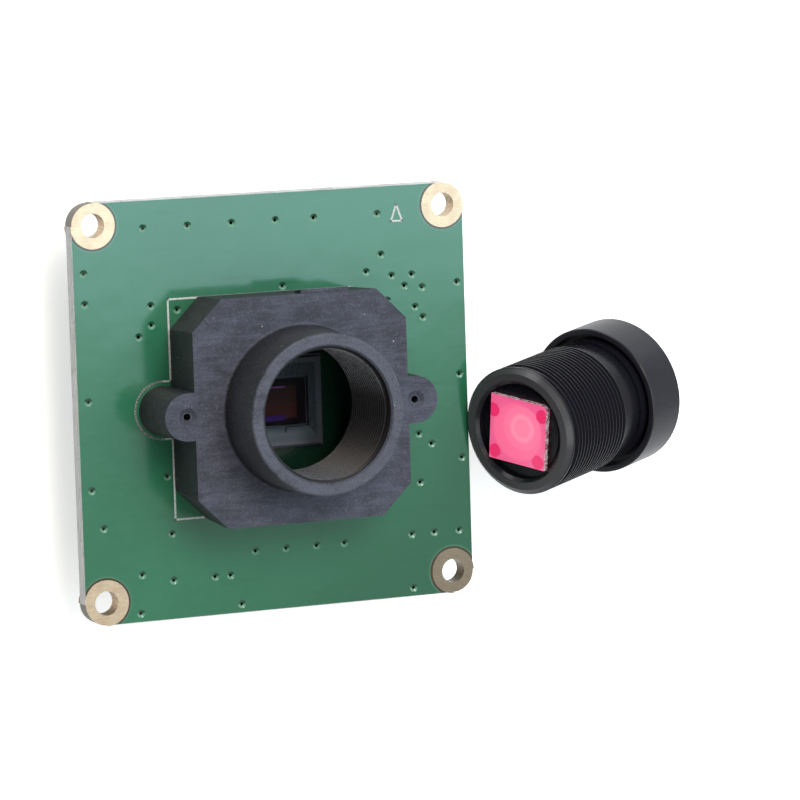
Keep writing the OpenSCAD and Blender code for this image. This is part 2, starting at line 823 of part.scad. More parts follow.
// Square filter whose one corner is chipped
module ir_filter() {
    half = filter_w / 2;
    color("pink", 0.6) leaning() rotate(filter_turn)
        translate([0, 0, filter_seat_h - glue_t - filter_t]) linear_extrude(filter_t) polygon([
            [-half, -half], [half, -half], [half, half], [-half + filter_chip, half],
            [-half, half - filter_chip * 0.6]
        ]);
}

module filter_glue() {
    // Squeezed flat between seat and filter, and wiped off along the filter's sides
    color("palevioletred") leaning() rotate(filter_turn) intersection() {
        for (a = glue_angles) rotate(a)
            translate([glue_at, 0, filter_seat_h - glue_t]) cylinder(h = glue_t, d = glue_d);
        translate([-filter_w / 2, -filter_w / 2, 0]) cube([filter_w, filter_w, filter_seat_h]);
    }
}

pcb();
mounting_hole_plating();
sensor_package();
sensor_die();
sensor_cover_glass();
lens_holder();
holder_screws();
processor_body();
processor_leads();
memory_body();
memory_leads();
regulator_bodies();
regulator_leads();
crystal_can();
crystal_base();
inductor_core();
inductor_winding();
electrolytic_cans();
electrolytic_bases();
electrolytic_feet();
tantalum_bodies();
tantalum_ends();
chip_capacitors();
chip_capacitor_ends();
chip_resistors();
chip_resistor_ends();
connector_housing();
connector_pins();
connector_tabs();
lens_barrel();
rear_element();
rear_spacer();
aperture_stop();
middle_element();
front_spacer();
front_element();
front_ring();
ir_filter();
filter_glue();
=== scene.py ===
"""Looks of a board camera module: a green board, a moulded lens holder and the unscrewed lens."""
import math

import bpy
from mathutils import Matrix, Vector


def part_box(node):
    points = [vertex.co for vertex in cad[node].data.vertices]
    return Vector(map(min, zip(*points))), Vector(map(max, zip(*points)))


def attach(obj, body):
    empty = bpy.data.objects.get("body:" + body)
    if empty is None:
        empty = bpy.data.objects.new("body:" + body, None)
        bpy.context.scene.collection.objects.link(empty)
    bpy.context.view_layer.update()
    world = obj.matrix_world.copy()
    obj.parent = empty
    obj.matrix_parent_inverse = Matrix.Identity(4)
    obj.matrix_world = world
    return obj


MM = 0.001
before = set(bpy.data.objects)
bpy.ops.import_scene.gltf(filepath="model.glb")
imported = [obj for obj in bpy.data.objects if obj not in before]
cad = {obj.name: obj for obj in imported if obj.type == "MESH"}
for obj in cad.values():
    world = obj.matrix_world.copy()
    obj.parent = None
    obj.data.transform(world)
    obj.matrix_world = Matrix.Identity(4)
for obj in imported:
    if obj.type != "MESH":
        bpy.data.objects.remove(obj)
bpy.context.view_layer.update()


# ---------------------------------------------------------------- places read from the part
def surface_centre(node):
    """Area-weighted centre of a node's surface."""
    total, place = 0.0, Vector()
    for face in cad[node].data.polygons:
        total += face.area
        place += face.center * face.area
    return place / total


BOARD_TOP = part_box("pcb")[1].z
FLOOR_Z = min(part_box("connector_housing")[0].z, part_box("electrolytic_cans")[0].z,
              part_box("lens_barrel")[0].z)

# Lens frame: origin at the rear face, Z along the axis to the front, Y as near the board's +Y as it gets
stop_place = surface_centre("aperture_stop")
LENS_AXIS = (surface_centre("front_ring") - stop_place).normalized()
lens_rear = min((v.co - stop_place).dot(LENS_AXIS) for v in cad["lens_barrel"].data.vertices)
lens_x = Vector((0, 1, 0)).cross(LENS_AXIS).normalized()
lens_y = LENS_AXIS.cross(lens_x)
lens_origin = stop_place + LENS_AXIS * lens_rear
TO_LENS = Matrix((lens_x, lens_y, LENS_AXIS)).transposed().to_4x4()
TO_LENS.translation = lens_origin
FROM_LENS = TO_LENS.inverted()

# Sizes for the looks, in millimetres like every shader below
HOLE_XY = 17.0
RING_R = 2.1
EDGE_FROM = 18.6
CHAMBER_HALF = 7.2
CHAMBER_BELOW = BOARD_TOP / MM + 3.3
RIM_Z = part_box("lens_holder")[1].z / MM
BORE_R = 6.05
THREAD_PITCH = 0.5


# ---------------------------------------------------------------- shader helper
class Shader:
    """A material's node tree with short ways to add what is used here."""

    def __init__(self, name):
        self.material = bpy.data.materials.new(name)
        self.material.use_nodes = True
        self.tree = self.material.node_tree
        self.tree.nodes.clear()
        self.out = self.tree.nodes.new("ShaderNodeOutputMaterial")

    def node(self, kind, **settings):
        made = self.tree.nodes.new(kind)
        for key, value in settings.items():
            setattr(made, key, value)
        return made

    def put(self, socket, value):
        """Set a socket to a value, or link it if the value is a socket."""
        if isinstance(value, bpy.types.NodeSocket):
            self.tree.links.new(value, socket)
        elif isinstance(value, (tuple, list)) and socket.type == "RGBA" and len(value) == 3:
            socket.default_value = (*value, 1)
        else:
            socket.default_value = value

    # Numbers
    def math(self, operation, a, b=0.0):
        made = self.node("ShaderNodeMath", operation=operation)
        self.put(made.inputs[0], a)
        self.put(made.inputs[1], b)
        return made.outputs[0]

    def plus(self, a, b):
        return self.math("ADD", a, b)

    def times(self, first, *others):
        for other in others:
            first = self.math("MULTIPLY", first, other)
        return first

    def inverse(self, a):
        return self.math("SUBTRACT", 1.0, a)

    def larger(self, a, b):
        return self.math("MAXIMUM", a, b)

    def above(self, value, limit):
        return self.math("GREATER_THAN", value, limit)

    def step(self, value, low, high):
        """0 below low, 1 above high, smooth between; with low the larger it falls instead."""
        made = self.node("ShaderNodeMapRange", interpolation_type="SMOOTHSTEP")
        falls = low > high
        self.put(made.inputs["Value"], value)
        made.inputs["From Min"].default_value = min(low, high)
        made.inputs["From Max"].default_value = max(low, high)
        made.inputs["To Min"].default_value = 1.0 if falls else 0.0
        made.inputs["To Max"].default_value = 0.0 if falls else 1.0
        return made.outputs[0]

    def band(self, value, rise, fall):
        """1 between the two stretches over which it rises and falls."""
        return self.times(self.step(value, *rise), self.step(value, fall[1], fall[0]))

    # Vectors
    def vmath(self, operation, a, b=None):
        made = self.node("ShaderNodeVectorMath", operation=operation)
        self.put(made.inputs[0], a)
        if b is not None:
            self.put(made.inputs[1], b)
        gives_number = operation in ("LENGTH", "DISTANCE", "DOT_PRODUCT")
        return made.outputs["Value" if gives_number else "Vector"]

    def xyz(self, x, y, z):
        made = self.node("ShaderNodeCombineXYZ")
        for socket, value in zip(made.inputs, (x, y, z)):
            self.put(socket, value)
        return made.outputs[0]

    def split(self, vector):
        made = self.node("ShaderNodeSeparateXYZ")
        self.put(made.inputs[0], vector)
        return made.outputs[0], made.outputs[1], made.outputs[2]

    def place(self):
        """Position in the row frame, in millimetres."""
        metres = self.node("ShaderNodeNewGeometry").outputs["Position"]
        return self.vmath("MULTIPLY", metres, (1 / MM, 1 / MM, 1 / MM))

    def lens_place(self):
        """Position in the lens frame, in millimetres."""
        p = self.vmath("SUBTRACT", self.place(), tuple(lens_origin / MM))
        return self.xyz(*(self.vmath("DOT_PRODUCT", p, tuple(axis)) for axis in (lens_x, lens_y, LENS_AXIS)))

    def true_normal(self):
        return self.node("ShaderNodeNewGeometry").outputs["True Normal"]

    # Patterns, colours and surfaces
    def noise(self, vector, scale, detail=3.0, roughness=0.55, stretch=None):
        if stretch is not None:
            vector = self.vmath("MULTIPLY", vector, stretch)
        made = self.node("ShaderNodeTexNoise")
        self.put(made.inputs["Vector"], vector)
        made.inputs["Scale"].default_value = scale
        made.inputs["Detail"].default_value = detail
        made.inputs["Roughness"].default_value = roughness
        return made.outputs["Fac"]

    def mix(self, factor, a, b):
        made = self.node("ShaderNodeMix", data_type="RGBA")
        self.put(made.inputs["Factor"], factor)
        self.put(made.inputs[6], a)
        self.put(made.inputs[7], b)
        return made.outputs[2]

    def bump(self, height, strength, depth_mm):
        made = self.node("ShaderNodeBump")
        self.put(made.inputs["Height"], height)
        made.inputs["Strength"].default_value = strength
        made.inputs["Distance"].default_value = depth_mm * MM
        return made.outputs[0]

    def surface(self, kind, **values):
        """A surface shader; a socket's name is written with _ for each space."""
        made = self.node(kind)
        for key, value in values.items():
            self.put(made.inputs[key.replace("_", " ")], value)
        return made.outputs[0]

    def show(self, surface):
        self.put(self.out.inputs["Surface"], surface)
        return self

    def principled(self, **values):
        return self.show(self.surface("ShaderNodeBsdfPrincipled", **values))

    def blend(self, factor, a, b):
        made = self.node("ShaderNodeMixShader")
        for socket, value in zip(made.inputs, (factor, a, b)):
            self.put(socket, value)
        return self.show(made.outputs[0])

    def wear(self, *pieces):
        for piece in pieces:
            piece.data.materials.clear()
            piece.data.materials.append(self.material)

    def wear_nodes(self, *names):
        self.wear(*(cad[name] for name in names))


# ---------------------------------------------------------------- board
def mask_green(s, p, x, y, reach):
    """Mask over copper: broad cloudiness, a faint weave, a few darker stains."""
    cloud = s.noise(p, 0.05)
    streak = s.noise(p, 0.55, 4.0, stretch=(0.25, 1.6, 1.0))
    weave = s.noise(p, 2.4, 2.0, stretch=(0.35, 1.0, 1.0))
    green = s.mix(s.step(cloud, 0.3, 0.7), (0.024, 0.172, 0.082), (0.032, 0.200, 0.100))
    green = s.mix(s.times(weave, 0.28), green, (0.050, 0.240, 0.135))
    green = s.mix(s.times(s.step(streak, 0.58, 0.80), 0.35), green, (0.018, 0.130, 0.066))
    # Painted shade: darker towards the corner at +X -Y
    wear_and_painted_shade = s.times(s.step(s.math("SUBTRACT", x, y), 6.0, 30.0), 0.6)
    green = s.mix(wear_and_painted_shade, green, (0.018, 0.100, 0.050))
    # Painted shade: under the lens holder the mask is made nearly black
    chamber_floor_shade = s.times(s.step(reach, CHAMBER_HALF + 0.1, CHAMBER_HALF - 0.1), 0.93)
    return s.mix(chamber_floor_shade, green, (0.004, 0.016, 0.011)), weave


def ring_gaps(s, green, from_hole):
    """Bare laminate round each plated ring, then the mask's lighter lip."""
    gap, lip_from, lip_to = RING_R + 0.15, RING_R + 0.22, (RING_R + 0.28, RING_R + 0.40)
    green = s.mix(s.step(from_hole, lip_from, gap), green, (0.060, 0.040, 0.020))
    lip = s.band(from_hole, (gap, lip_from), lip_to)
    return s.mix(s.times(lip, 0.5), green, (0.10, 0.26, 0.17))


def via_dishes(s, green, from_hole, lean_y, level):
    """Each via is a dish in the mask with painted light: a painted highlight on the slope facing +Y, painted
    shade in its upper lip.
    """
    dish = s.times(s.band(level, (0.5, 0.7), (0.95, 0.975)), s.above(from_hole, RING_R + 0.5))
    return s.mix(dish, green, s.mix(s.step(lean_y, -0.25, 0.15), (0.022, 0.100, 0.056), (0.16, 0.38, 0.25)))


def laminate_edge(s, p, chips, corner):
    """Broken laminate: glass layers along the edge, cleaner and browner at the routed corners."""
    layers = s.noise(p, 5.0, 5.0, 0.7, stretch=(0.12, 0.12, 1.8))
    broken = s.mix(s.step(layers, 0.35, 0.65), (0.55, 0.56, 0.54), (0.82, 0.83, 0.82))
    broken = s.mix(s.times(s.step(chips, 0.55, 0.70), 0.5), broken, (0.22, 0.22, 0.17))
    routed = s.mix(s.step(layers, 0.3, 0.7), (0.20, 0.18, 0.14), (0.33, 0.31, 0.27))
    return s.mix(corner, broken, routed)


def solder_mask():
    """Green mask on both faces, pale glass fibre along the edges, painted shade on the walls of the holes."""
    s = Shader("solder_mask")
    p = s.place()
    x, y, _ = s.split(p)
    ax, ay = s.math("ABSOLUTE", x), s.math("ABSOLUTE", y)
    reach = s.larger(ax, ay)
    corner = s.above(s.math("MINIMUM", ax, ay), HOLE_XY)
    from_hole = s.vmath("DISTANCE", s.xyz(ax, ay, 0.0), (HOLE_XY, HOLE_XY, 0.0))
    _, lean_y, lean_z = s.split(s.true_normal())
    level = s.math("ABSOLUTE", lean_z)
    round_hole = s.times(s.step(from_hole, 1.7, 1.75), corner)
    outline = s.larger(s.step(reach, EDGE_FROM, EDGE_FROM + 0.05), round_hole)
    side = s.times(s.inverse(s.step(level, 0.93, 0.97)), outline)
    bore_shade = s.times(s.inverse(s.step(level, 0.3, 0.5)), s.inverse(outline))
    chips = s.noise(p, 3.0, 5.0, 0.7)

    green, weave = mask_green(s, p, x, y, reach)
    green = ring_gaps(s, green, from_hole)
    green = via_dishes(s, green, from_hole, lean_y, level)
    colour = s.mix(side, green, laminate_edge(s, p, chips, corner))
    # Painted shade: the walls of the holes are made nearly black
    colour = s.mix(bore_shade, colour, (0.010, 0.012, 0.010))

    rough = s.plus(s.plus(0.10, s.times(weave, 0.08)), s.times(side, 0.5))
    waves = s.times(s.noise(p, 0.22, 2.0), 0.6)
    grain = s.times(s.noise(p, 9.0, 2.0), 0.015)
    height = s.plus(s.plus(waves, grain), s.times(chips, side, 3.0))
    return s.principled(Base_Color=colour, Roughness=rough, Specular_IOR_Level=1.0,
                        Normal=s.bump(height, 0.35, 0.08))


def gold_plating():
    """Thin plating over copper with fine scratches; the ring at +X -Y is darker."""
    s = Shader("gold_plating")
    p = s.place()
    x, y, _ = s.split(p)
    blotch = s.noise(p, 0.9)
    scratch = s.noise(p, 6.0, stretch=(0.15, 1.0, 1.0))
    darker_corner = s.times(s.step(s.math("SUBTRACT", x, s.times(y, 1.2)), 22.0, 34.0), 0.8)
    gold = s.mix(s.step(blotch, 0.3, 0.7), (0.72, 0.50, 0.33), (0.80, 0.60, 0.40))
    gold = s.mix(darker_corner, gold, (0.26, 0.20, 0.14))
    rough = s.plus(0.22, s.times(scratch, 0.12))
    return s.principled(Base_Color=gold, Metallic=1.0, Roughness=rough, Normal=s.bump(scratch, 0.15, 0.02))


# ---------------------------------------------------------------- lens holder
def dust_specks(s, p):
    """Rare round specks, about one in seven cells of a loose pattern."""
    speck = s.node("ShaderNodeTexVoronoi", feature="F1")
    s.put(speck.inputs["Vector"], p)
    speck.inputs["Scale"].default_value = 1.1
    chosen = s.above(s.split(speck.outputs["Color"])[0], 0.86)
    return s.times(s.step(speck.outputs["Distance"], 0.09, 0.05), chosen)


def holder_plastic():
    """Glass-filled black plastic: up-facing faces painted lighter as painted light and grey-violet with a
    patchy bloom, sides painted darker as painted shade, fine grain, scuffs and specks of dust.
    """
    s = Shader("holder_plastic")
    p = s.place()
    x, y, z = s.split(p)
    radius = s.vmath("LENGTH", s.xyz(x, y, 0.0))
    grain = s.noise(p, 4.5, 5.0, 0.75)
    fine = s.noise(p, 9.0, 3.0, 0.7)
    patch = s.noise(p, 0.45, 5.0, 0.65)
    brush = s.noise(p, 1.5, 4.0, 0.6, stretch=(0.25, 1.6, 0.6))

    # Painted light and shade: up-facing faces take the lighter top colour, the sides the darker one
    up = s.step(s.split(s.true_normal())[2], 0.5, 0.95)
    bloom = s.plus(s.times(s.step(patch, 0.35, 0.70), 0.55), s.times(s.step(brush, 0.4, 0.7), 0.45))
    top = s.mix(bloom, (0.040, 0.042, 0.060), (0.100, 0.104, 0.152))
    shaded_sides = s.mix(s.step(patch, 0.35, 0.7), (0.018, 0.020, 0.025), (0.030, 0.032, 0.040))
    colour = s.mix(up, shaded_sides, top)
    # The barrel's rim is rubbed paler. Painted shade: inside the bore and the chamber the plastic is made
    # near-black
    rim = s.times(s.step(z, RIM_Z - 0.35, RIM_Z - 0.1), s.step(patch, 0.30, 0.50), 0.55)
    colour = s.mix(rim, colour, (0.125, 0.130, 0.170))
    bore_shade = s.times(s.step(radius, BORE_R + 0.15, BORE_R + 0.05), s.step(z, RIM_Z - 0.1, RIM_Z - 0.3))
    chamber_shade = s.times(s.above(CHAMBER_BELOW, z), s.above(9.8, radius))
    colour = s.mix(s.times(s.larger(bore_shade, chamber_shade), 0.85), colour, (0.007, 0.007, 0.009))
    colour = s.mix(s.times(s.step(grain, 0.50, 0.72), 0.55), colour, (0.17, 0.175, 0.215))
    colour = s.mix(s.times(s.step(fine, 0.50, 0.34), 0.60), colour, (0.012, 0.012, 0.016))
    colour = s.mix(s.times(dust_specks(s, p), 0.8), colour, (0.55, 0.55, 0.58))

    height = s.plus(s.times(grain, 0.6), s.times(fine, 0.25))
    rough = s.plus(0.50, s.times(grain, 0.16))
    return s.principled(Base_Color=colour, Roughness=rough, Specular_IOR_Level=0.4,
                        Normal=s.bump(height, 0.5, 0.03))


def bore_plastic():
    """The same plastic with painted highlights along the thread crests, strongest in the upper right, fainter
    at the bottom and faint elsewhere; the rest is near-black as painted shade.
    """
    s = Shader("thread_plastic")
    p = s.place()
    x, y, _ = s.split(p)
    radius = s.vmath("LENGTH", s.xyz(x, y, 0.0))
    upper_right = s.step(s.plus(s.times(x, 0.64), s.times(y, 0.77)), 4.2, 5.6)
    lower = s.times(s.step(y, -4.8, -5.7), 0.25)
    # Painted highlights on the crests
    crest_highlight = s.times(s.plus(s.larger(upper_right, lower), 0.12), s.step(radius, 5.88, 5.81))
    crest_highlight = s.times(crest_highlight, s.step(s.noise(p, 8.0), 0.30, 0.55))
    colour = s.mix(crest_highlight, (0.006, 0.006, 0.007), (0.30, 0.305, 0.33))
    return s.principled(Base_Color=colour, Roughness=0.35, Specular_IOR_Level=0.5)


# ---------------------------------------------------------------- image sensor
def sensor_ceramic():
    """Blue-grey ceramic tray with a pale dusty foot."""
    s = Shader("sensor_ceramic")
    p = s.place()
    x, y, _ = s.split(p)
    n = s.noise(p, 4.0, 4.0)
    grey = s.mix(n, (0.020, 0.021, 0.030), (0.040, 0.042, 0.058))
    foot = s.times(s.step(y, -2.3, -2.9), s.step(x, 3.4, 1.0), 0.8)
    grey = s.mix(foot, grey, (0.115, 0.118, 0.150))
    return s.principled(Base_Color=grey, Roughness=0.5, Normal=s.bump(n, 0.3, 0.02))


def sensor_silicon():
    """Reddish pixel field in a dark border, with interference colours near its ends painted on as
    reflections.
    """
    s = Shader("sensor_silicon")
    x, y, _ = s.split(s.place())
    field = s.times(s.step(s.math("ABSOLUTE", x), 1.75, 1.65), s.step(s.math("ABSOLUTE", y), 1.55, 1.45))
    red = s.mix(s.step(y, -1.5, 1.5), (0.050, 0.013, 0.012), (0.030, 0.012, 0.013))
    colour = s.mix(field, (0.008, 0.005, 0.007), red)
    # Painted reflections: a violet band and a pale line of interference colour
    painted_violet_reflection = s.times(s.step(y, -1.10, -1.25), s.step(y, -1.75, -1.60), s.step(x, 1.0, 0.2))
    colour = s.mix(painted_violet_reflection, colour, (0.040, 0.012, 0.110))
    reflection_line = s.times(s.band(y, (1.28, 1.34), (1.40, 1.46)), s.step(x, 0.9, 0.3))
    colour = s.mix(reflection_line, colour, (0.20, 0.05, 0.22))
    return s.principled(Base_Color=colour, Roughness=0.25, Specular_IOR_Level=0.03)


def cover_glass():
    """Coated glass: nearly clear, with a trace of bluish reflection."""
    s = Shader("cover_glass")
    clear = s.surface("ShaderNodeBsdfTransparent", Color=(0.93, 0.97, 0.96))
    gloss = s.surface("ShaderNodeBsdfGlossy", Color=(0.75, 0.8, 1.0), Roughness=0.03)
    return s.blend(0.002, clear, gloss)


# ---------------------------------------------------------------- lens
def black_anodised():
    """Black anodised metal with fine turning marks round the lens axis and a rubbed rear rim."""
    s = Shader("black_anodised")
    lx, ly, lz = s.split(s.lens_place())
    radius = s.vmath("LENGTH", s.xyz(lx, ly, 0.0))
    marks = s.noise(s.xyz(s.times(radius, 6.0), 0.0, s.times(lz, 6.0)), 1.0, 3.0, 0.6)
    dust = s.noise(s.place(), 14.0, 3.0, 0.6)
    colour = s.mix(dust, (0.005, 0.005, 0.008), (0.013, 0.013, 0.019))
    head = s.times(s.step(lz, 11.0, 12.0), s.step(radius, 6.0, 6.6))
    colour = s.mix(head, colour, s.mix(dust, (0.013, 0.013, 0.019), (0.028, 0.028, 0.037)))
    rim = s.times(s.step(lz, 0.50, 0.30), s.step(radius, 4.70, 4.90), 0.8)
    colour = s.mix(rim, colour, (0.090, 0.090, 0.096))
    rough = s.plus(0.17, s.times(dust, 0.14))
    height = s.plus(marks, s.times(dust, 0.3))
    return s.principled(Base_Color=colour, Roughness=rough, Specular_IOR_Level=0.35,
                        Normal=s.bump(height, 0.25, 0.015))


def islands(mesh):
    """Points of a mesh in groups that its faces connect; faces may meet in doubled vertices."""
    same = 0.002 * MM
    parent = list(range(len(mesh.vertices)))

    def find(i):
        while parent[i] != i:
            parent[i] = parent[parent[i]]
            i = parent[i]
        return i

    first_at = {}
    for v in mesh.vertices:
        key = tuple(round(c / same) for c in v.co)
        parent[find(v.index)] = find(first_at.setdefault(key, v.index))
    for face in mesh.polygons:
        for v in face.vertices[1:]:
            parent[find(v)] = find(face.vertices[0])
    groups = {}
    for v in mesh.vertices:
        groups.setdefault(find(v.index), []).append(v.co)
    return list(groups.values())


def box_centre(points):
    return Vector([(min(p[i] for p in points) + max(p[i] for p in points)) / 2 for i in range(3)])


def rim_reflections(s, flat):
    """Rims of the glass behind, painted as paler rings of reflection, off centre because they lie deeper."""
    ring = s.vmath("DISTANCE", flat, (-0.55, 0.35, 0.0))
    wide = s.times(s.step(ring, 2.15, 2.0), 0.30)
    disc = s.times(s.step(ring, 1.45, 1.35), 0.35)
    reflection_line = s.times(s.band(ring, (0.85, 0.95), (1.20, 1.30)), 0.35)
    return s.plus(s.plus(wide, disc), reflection_line)


def filter_glass():
    """Pink coated glass: deeper where glue wets its back, paler over the window as painted light from the
    glass behind, white ground sides.
    """
    s = Shader("filter_glass")
    q = s.lens_place()
    lx, ly, _ = s.split(q)
    flat = s.xyz(lx, ly, 0.0)
    window = s.step(s.vmath("LENGTH", flat), 2.85, 2.55)
    pink = s.mix(s.noise(q, 1.2), (0.90, 0.115, 0.285), (0.96, 0.150, 0.340))
    # Painted light: paler pink over the window, then painted reflections of the rims behind
    pink = s.mix(window, pink, (0.97, 0.190, 0.375))
    pink = s.mix(rim_reflections(s, flat), pink, (1.00, 0.330, 0.480))
    wobble = s.times(s.noise(q, 2.5, 2.0), 0.25)
    for dot in islands(cad["filter_glue"].data):
        spot = FROM_LENS @ box_centre(dot) / MM
        near = s.plus(s.vmath("DISTANCE", flat, (spot.x, spot.y, 0.0)), wobble)
        pink = s.mix(s.step(near, 0.84, 0.72), pink, (0.88, 0.035, 0.165))

    facing = s.math("ABSOLUTE", s.vmath("DOT_PRODUCT", s.true_normal(), tuple(LENS_AXIS)))
    ground = s.step(facing, 0.5, 0.3)
    polished = s.inverse(ground)
    frost = s.step(s.noise(q, 4.0, 5.0, 0.8), 0.45, 0.55)
    pink = s.mix(ground, pink, s.mix(frost, (0.25, 0.03, 0.08), (0.95, 0.93, 0.94)))
    # Painted light: the polished faces glow pink, so the filter is brighter than paint
    rough = s.plus(0.12, s.times(ground, 0.4))
    body = s.surface("ShaderNodeBsdfPrincipled", Base_Color=pink, Roughness=rough,
                     Emission_Color=pink, Emission_Strength=s.times(polished, 0.46))
    clear = s.surface("ShaderNodeBsdfTransparent", Color=(1.0, 0.55, 0.70))
    return s.blend(s.inverse(s.times(window, 0.12, polished)), clear, body)


# ---------------------------------------------------------------- plain materials
def plain(name, colour, rough, metal=0.0, bump=0.0, scale=6.0, **more):
    """One colour that varies a tenth either way, for the small parts."""
    s = Shader(name)
    n = s.noise(s.place(), scale, 4.0)
    shade = s.mix(n, tuple(c * 0.9 for c in colour), tuple(min(1.0, c * 1.1) for c in colour))
    if bump:
        more["Normal"] = s.bump(n, bump, 0.02)
    return s.principled(Base_Color=shade, Roughness=rough, Metallic=metal, **more)


def white_ink():
    s = Shader("white_ink")
    wear_and_painted_shade = s.step(s.noise(s.place(), 5.0, 4.0), 0.35, 0.6)
    return s.principled(Base_Color=s.mix(wear_and_painted_shade, (0.50, 0.55, 0.52), (0.78, 0.80, 0.78)), Roughness=0.6)


plastic = holder_plastic()
anodised = black_anodised()
solder_mask().wear_nodes("pcb")
gold_plating().wear_nodes("mounting_hole_plating", "connector_pins")
plastic.wear_nodes("lens_holder")
sensor_ceramic().wear_nodes("sensor_package")
sensor_silicon().wear_nodes("sensor_die")
cover_glass().wear_nodes("sensor_cover_glass")
anodised.wear_nodes("lens_barrel", "rear_spacer", "aperture_stop", "front_spacer", "front_ring")
filter_glass().wear_nodes("ir_filter")
plain("filter_glue", (0.85, 0.05, 0.2), 0.35).wear_nodes("filter_glue")
plain("lens_glass", (0.98, 0.80, 0.86), 0.12, Transmission_Weight=0.5).wear_nodes(
    "rear_element", "middle_element", "front_element")
plain("screw_steel", (0.62, 0.62, 0.6), 0.35, 1.0).wear_nodes("holder_screws")
plain("chip_plastic", (0.03, 0.03, 0.032), 0.6, bump=0.3, scale=20).wear_nodes(
    "processor_body", "memory_body", "regulator_bodies")
plain("tinned_leads", (0.72, 0.72, 0.7), 0.35, 1.0).wear_nodes(
    "processor_leads", "memory_leads", "regulator_leads", "electrolytic_feet",
    "tantalum_ends", "chip_capacitor_ends", "chip_resistor_ends", "connector_tabs")
plain("drawn_steel", (0.7, 0.7, 0.69), 0.3, 1.0).wear_nodes("crystal_can")
plain("base_plastic", (0.02, 0.02, 0.02), 0.45).wear_nodes("crystal_base", "electrolytic_bases")
plain("ferrite", (0.07, 0.07, 0.075), 0.6, bump=0.4).wear_nodes("inductor_core")
plain("copper_wire", (0.72, 0.33, 0.14), 0.3, 1.0).wear_nodes("inductor_winding")
plain("can_aluminium", (0.78, 0.79, 0.8), 0.35, 1.0).wear_nodes("electrolytic_cans")
plain("tantalum_resin", (0.8, 0.45, 0.08), 0.5, bump=0.2).wear_nodes("tantalum_bodies")
plain("capacitor_ceramic", (0.42, 0.30, 0.19), 0.5).wear_nodes("chip_capacitors")
plain("resistor_coat", (0.02, 0.02, 0.02), 0.25).wear_nodes("chip_resistors")
plain("connector_nylon", (0.80, 0.76, 0.66), 0.45, bump=0.1).wear_nodes("connector_housing")


# ---------------------------------------------------------------- added pieces
def mesh_of(name, points, faces):
    mesh = bpy.data.meshes.new(name)
    mesh.from_pydata([tuple(p) for p in points], [], faces)
    mesh.validate()
    mesh.update()
    return mesh


def add_object(name, data):
    piece = bpy.data.objects.new(name, data)
    bpy.context.scene.collection.objects.link(piece)
    return piece


def add_piece(name, points, faces, shader):
    """A flat-shaded piece that rides on the module's body."""
    mesh = mesh_of(name, points, faces)
    for face in mesh.polygons:
        face.use_smooth = False
    piece = add_object(name, mesh)
    shader.wear(piece)
    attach(piece, "root")


def thread_ridge(name, root, crest, start, end, to_row, shader):
    """One helical ridge between two heights; it fades in and out over half a turn."""
    steps = 96
    foot_half, crest_half = 0.42, 0.09
    sunk = 0.02 if crest > root else -0.02
    fade_steps = steps / 2
    count = int((end - start) / THREAD_PITCH * steps)
    points, faces = [], []
    for i in range(count + 1):
        angle = 2 * math.pi * i / steps
        middle = start + THREAD_PITCH * i / steps
        fade = min(1.0, i / fade_steps, (count - i) / fade_steps)
        tip = root + (crest - root) * max(fade, 0.02)
        profile = ((root - sunk, -foot_half), (tip, -crest_half), (tip, crest_half), (root - sunk, foot_half))
        for radius, along in profile:
            z = middle + along * THREAD_PITCH
            points.append(to_row @ (Vector((radius * math.cos(angle), radius * math.sin(angle), z)) * MM))
    for i in range(count):
        for j in range(4):
            a, b = 4 * i + j, 4 * i + (j + 1) % 4
            face = (a, b, b + 4, a + 4)
            faces.append(face if crest > root else face[::-1])
    faces.append((3, 2, 1, 0))
    faces.append(tuple(4 * count + j for j in range(4)))
    add_piece(name, points, faces, shader)


thread_ridge("lens_thread", root=5.72, crest=5.995, start=1.03, end=9.2, to_row=TO_LENS,
             shader=anodised)
to_bore = Matrix.Translation((0, 0, BOARD_TOP))
thread_ridge("holder_thread", root=BORE_R, crest=5.79, start=3.6, end=12.25, to_row=to_bore,
             shader=bore_plastic())


def stroke(points, width):
    """Flat printed bars through points, in millimetres on the board's front face."""
    ink_t = 0.015
    bar = [(0, 2, 4, 6), (1, 7, 5, 3), (0, 1, 3, 2), (2, 3, 5, 4), (4, 5, 7, 6), (6, 7, 1, 0)]
    verts, faces = [], []
    for a, b in zip(points, points[1:]):
        a, b = Vector(a), Vector(b)
        along = (b - a).normalized() * width / 2
        across = Vector((-along.y, along.x))
        first = len(verts)
        for corner in (a - along - across, b + along - across, b + along + across, a - along + across):
            verts += [(corner.x * MM, corner.y * MM, BOARD_TOP + z * MM) for z in (0.0, ink_t)]
        faces += [tuple(first + i for i in quad) for quad in bar]
    return verts, faces


def silkscreen():
    """The holder's printed outline with its two ears, open where it isn't printed, and a small triangle."""
    line_w = 0.17
    side, top, gap_x, gap_y = 10.13, 9.98, 7.0, 7.4
    ear_x, ear_r, ear_y = 11.0, 2.6, 2.62
    turns = [math.radians(a) for a in range(90, -91, -6)]
    arc = [(-ear_x - ear_r * math.cos(a), ear_r * math.sin(a)) for a in turns]
    below = [(-side, -ear_y), (-side, -top), (-gap_x, -top)]
    left = [(7.6, top), (-side, top), (-side, ear_y), (-ear_x, ear_y)] + arc + below
    right = [(side, gap_y), (side, ear_y), (ear_x, ear_y)] + [(-x, y) for x, y in arc + below]
    triangle = [(11.85, 15.75), (12.4, 17.25), (12.95, 15.75), (11.85, 15.75)]
    verts, faces = [], []
    for path in (left, right, triangle):
        more, quads = stroke(path, line_w)
        faces += [tuple(len(verts) + i for i in quad) for quad in quads]
        verts += more
    add_piece("silkscreen", verts, faces, white_ink())


silkscreen()

# Small real edges on the moulding
rounding = cad["lens_holder"].modifiers.new("edges", "BEVEL")
rounding.width = 0.10 * MM
rounding.segments = 2
rounding.limit_method = "ANGLE"
rounding.angle_limit = math.radians(35)


